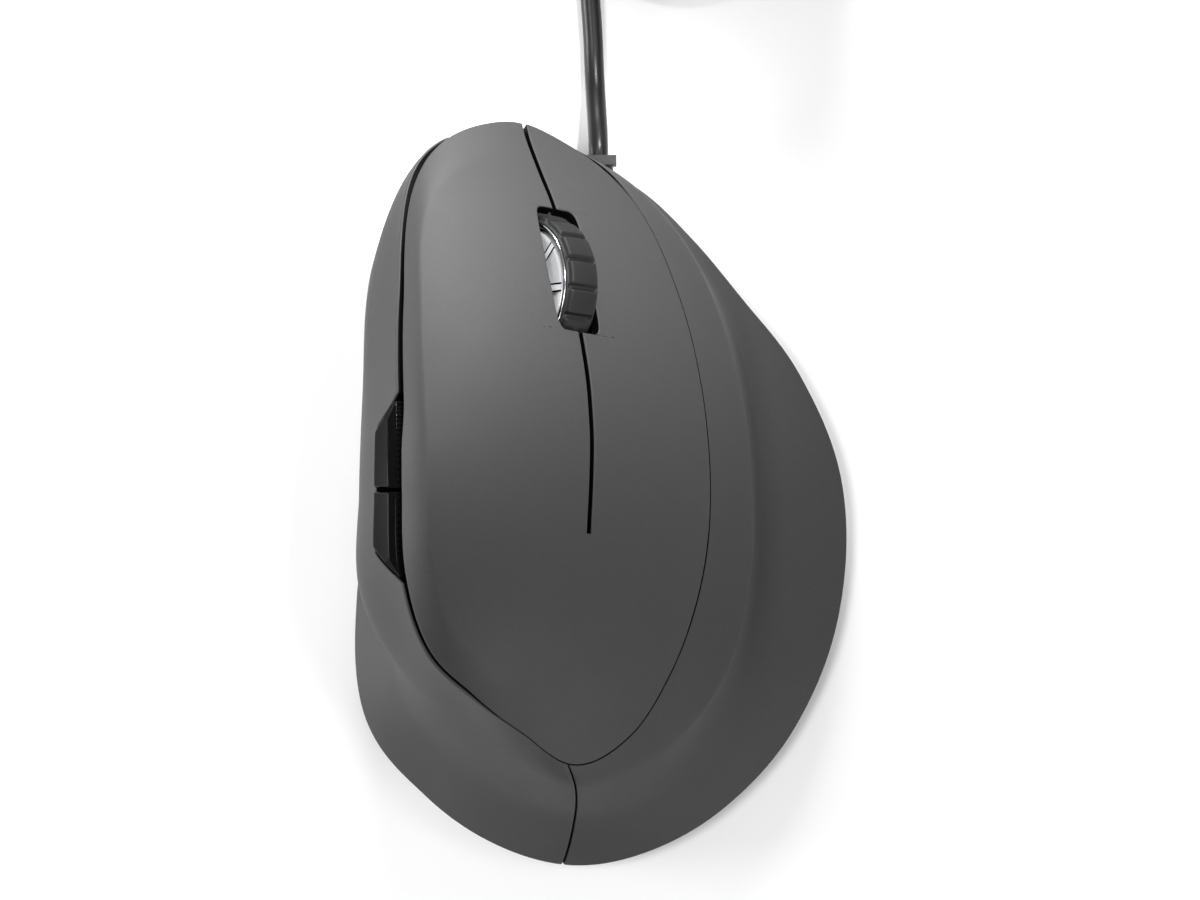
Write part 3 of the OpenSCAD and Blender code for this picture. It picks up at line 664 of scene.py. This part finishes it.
def wheel_tread():
    """A thin rubber band with sixteen pads, set off by a narrow step on each side."""
    half = WHEEL_WIDTH / 2 - TREAD_INSET
    outline = [(-half, HUB_RADIUS + 0.05), (-half, 11.35), (-half + 0.1, 11.5),
               (-half + 0.3, 11.55), (-half + 0.45, 11.6), (-half + 0.55, 11.95),
               (-half + 0.8, 12.14)]
    outline += [(x, WHEEL_RADIUS - 0.14 * (x / 2.4) ** 2) for x in np.linspace(-2.2, 2.2, 13)]
    outline += [(-x, r) for x, r in outline[6::-1]]

    def groove(a, x):
        turn = np.abs((a * TREADS / (2 * np.pi) + 0.5) % 1 - 0.5) * 2 * np.pi / TREADS
        inside = 1 - smooth((turn * WHEEL_RADIUS - 0.3) / 0.22)
        return 0.6 * inside * smooth((half - 0.3 - np.abs(x)) / 0.3)

    made = Mesh()
    revolve(made, np.array(outline), TREADS * 24, groove)
    piece = made.piece("wheel_tread", "tread_rubber")
    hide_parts("wheel_tyre")
    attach(piece, "wheel")
    return piece


def wheel_hub():
    """A plated hub: a bright rim, a recess in near-black painted shade, then a dished disc with
    ribs and a boss.
    """
    made = Mesh()
    half = WHEEL_WIDTH / 2
    rim = np.array([(half - 0.5, 11.2), (half - 0.12, 11.2), (half - 0.03, 11.1),
                    (half - 0.03, 10.75), (half - 0.15, 10.6), (half - 0.9, 10.5)])
    recess = np.array([(half - 0.9, 10.5), (half - 1.0, 10.4), (half - 1.0, 10.1)])
    disc = np.array([(half - 1.0, 10.1), (half - 0.5, 10.0), (half - 0.35, 9.8), (half - 0.4, 9.0),
                     (half - 0.75, 6.8), (half - 0.8, 5.2), (half - 0.6, 4.0), (half - 0.1, 3.5),
                     (half + 0.3, 3.1), (half + 0.5, 2.4), (half + 0.55, 1.1)])
    for s in (-1, 1):
        revolve(made, rim * (s, 1), 128)
        revolve(made, disc * (s, 1), 128, slot=2)
        # the recess: near-black painted shade
        revolve(made, recess * (s, 1), 128, slot=1)
        for k in range(RIBS):
            rib(made, s, 2 * np.pi * (k + 0.5) / RIBS)
    revolve(made, np.array([(-6.9, 0.01), (-6.9, 1.0), (-6.8, 1.1), (6.8, 1.1), (6.9, 1.0),
                            (6.9, 0.01)]), 32)
    piece = made.piece("wheel_hub_plated", "hub_metal", "painted_shade_black", "hub_face")
    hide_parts("wheel_hub")
    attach(piece, "wheel")
    return piece


def rib(made, s, a):
    """A flat rib across the disc with near-black strips of painted shade on both sides of it."""
    r = np.linspace(3.6, 9.9, 8)[:, None]
    # slot 1 strips: painted shade in the grooves beside the rib
    for edges, sunk, slot in (((-0.45, 0.45), 0.3, 2), ((-0.75, -0.45), 0.32, 1),
                              ((0.45, 0.75), 0.32, 1)):
        w = np.array(edges)[None]
        p = np.stack([s * (WHEEL_WIDTH / 2 - sunk) + 0 * r * w,
                      r * np.cos(a) - w * np.sin(a), r * np.sin(a) + w * np.cos(a)], -1)
        n = np.broadcast_to([float(s), 0, 0], p.shape)
        made.grid(p @ WHEEL_TURN.T + WHEEL_AT, n @ WHEEL_TURN.T, slot=slot)


# ---------------------------------------------------------------- plug, feet and other edges
PLUG_AT = np.array([-3.2, 138.0, 4.0])
SOFT_EDGES = {"usb_plug_body": 1.1, "usb_plug_shell": 0.25, "cable_gland": 0.35,
              "coil_tie": 0.2, "base_plate": 0.3, "foot_front": 0.15, "foot_rear": 0.15,
              "foot_left": 0.15, "foot_right": 0.15}


def block(made, low, high):
    """A box between two corners, given from the plug's rear end."""
    low, high = PLUG_AT + low, PLUG_AT + high
    for axis in range(3):
        u, v = (axis + 1) % 3, (axis + 2) % 3
        for end, sign in ((low, -1.0), (high, 1.0)):
            p = np.zeros((2, 2, 3))
            p[..., axis] = end[axis]
            p[:, :, u] = np.array([low[u], high[u]])[:, None]
            p[:, :, v] = np.array([low[v], high[v]])[None]
            n = np.zeros(3)
            n[axis] = sign
            made.grid(p, n)


def blocks(name, finish, corners):
    made = Mesh()
    for low, high in corners:
        block(made, low, high)
    piece = made.piece(name, finish)
    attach(piece, "base")
    return piece


def plug_details():
    """Grip ribs on the moulded body, near-black painted shade in the shell's windows and contacts
    on its tongue.
    """
    ribs = [((-4.5, y, s * 4.0 - 0.2), (4.5, y + 0.9, s * 4.0 + 0.2))
            for s in (-1, 1) for y in (12, 14.5, 17, 19.5)]
    # the window blocks are near-black sheets: painted shade in the holes of the shell
    windows = [((x - 1.1, 34.2, s * 2.25 - 0.03), (x + 1.1, 36.4, s * 2.25 + 0.03))
               for s in (-1, 1) for x in (-2.7, 2.7)]
    contacts = [((x - 0.55, y, 0.1), (x + 0.55, 40.4, 0.2))
                for x, y in ((-3.5, 32), (-1.1, 33), (1.1, 33), (3.5, 32))]
    return [blocks("plug_ribs", "plug_plastic", ribs),
            blocks("plug_window_shade", "painted_shade_black", windows),
            blocks("plug_contacts", "contact_gold", contacts)]


def soften(node_name, width):
    """Rounds the edges of a CAD node for the picture; its own mesh stays as it is."""
    edges = frame["nodes"][node_name].modifiers.new("edges", "BEVEL")
    edges.width = width * MM
    edges.segments = 3
    edges.limit_method = "ANGLE"
    edges.angle_limit = math.radians(40)


# ---------------------------------------------------------------- floor, light, finish


def studio():
    floor = bpy.data.meshes.new("floor")
    size = 3.0
    floor.from_pydata([(-size, -size, 0), (size, -size, 0), (size, size, 0), (-size, size, 0)],
                      [], [(0, 1, 2, 3)])
    floor.materials.append(material("paper", (0.9, 0.9, 0.9), 0.9, grain=40, bump=0, vary=0.005))
    ground = add("floor", floor)
    ground.location.z = -0.0002
    world = bpy.data.worlds.new("studio")
    bpy.context.scene.world = world
    world.use_nodes = True
    world.node_tree.nodes["Background"].inputs["Color"].default_value = (1, 1, 1, 1)
    world.node_tree.nodes["Background"].inputs["Strength"].default_value = 0.22
    lamp("front_low", (0.0, 0.693, 0.117), 0.3, 8.5)
    lamp("left_low", (-0.693, 0.0, 0.117), 0.3, 5.0)
    lamp("left_top", (-0.28, 0.0, 0.87), 0.3, 3.6)
    lamp("rear_right", (0.45, -0.45, 0.316), 0.3, 2.0)
    lamp("right_high", (0.514, 0.0, 0.633), 0.3, 1.0)
    spot("nose_spot", (0.12, 0.25, 0.42), (-0.015, 0.046, 0.038), 22, 13)
    bpy.context.scene.view_settings.view_transform = "Standard"


def put(name, data, place, target):
    light = add(name, data)
    light.location = place
    light.rotation_euler = (Vector(target) - Vector(place)).to_track_quat("-Z", "Y").to_euler()


def lamp(name, place, size, watts):
    data = bpy.data.lights.new(name, "AREA")
    data.shape = "DISK"
    data.size = size
    data.energy = watts
    put(name, data, place, (0, 0, 0.02))


def spot(name, place, target, watts, cone):
    data = bpy.data.lights.new(name, "SPOT")
    data.energy = watts
    data.spot_size = math.radians(cone)
    data.spot_blend = 1
    data.shadow_soft_size = 0.03
    put(name, data, place, target)


camera()
cord_piece = cord(plug_details())
for softened, edge_width in SOFT_EDGES.items():
    soften(softened, edge_width)
cord_piece.data.materials.append(FINISHES["cord_jacket"])
palm()
main_button(-1, "left_button")
main_button(1, "right_button")
skirt_shell("thumb_shell", np.concatenate([
    [CORNER_SEAM + 0.3], np.linspace(CORNER_SEAM + 0.5, BAY_FRONT - 0.2, 60),
    np.linspace(BAY_FRONT, BAY_REAR, 90),
    np.linspace(BAY_REAR + 0.2, TAIL_SEAM - 0.6, 80), [TAIL_SEAM - 0.4]]))
skirt_shell("right_shell", np.concatenate([
    [TAIL_SEAM - 360], np.linspace(TAIL_SEAM - 359.7, CORNER_SEAM - 0.3, 260),
    [CORNER_SEAM]]))
side_button("forward_button", BAY_FRONT + 1.5, BAY_MIDDLE - 0.35, "low")
side_button("back_button", BAY_MIDDLE + 0.35, BAY_REAR - 1.5, "high")
wheel_tread()
wheel_hub()
studio()
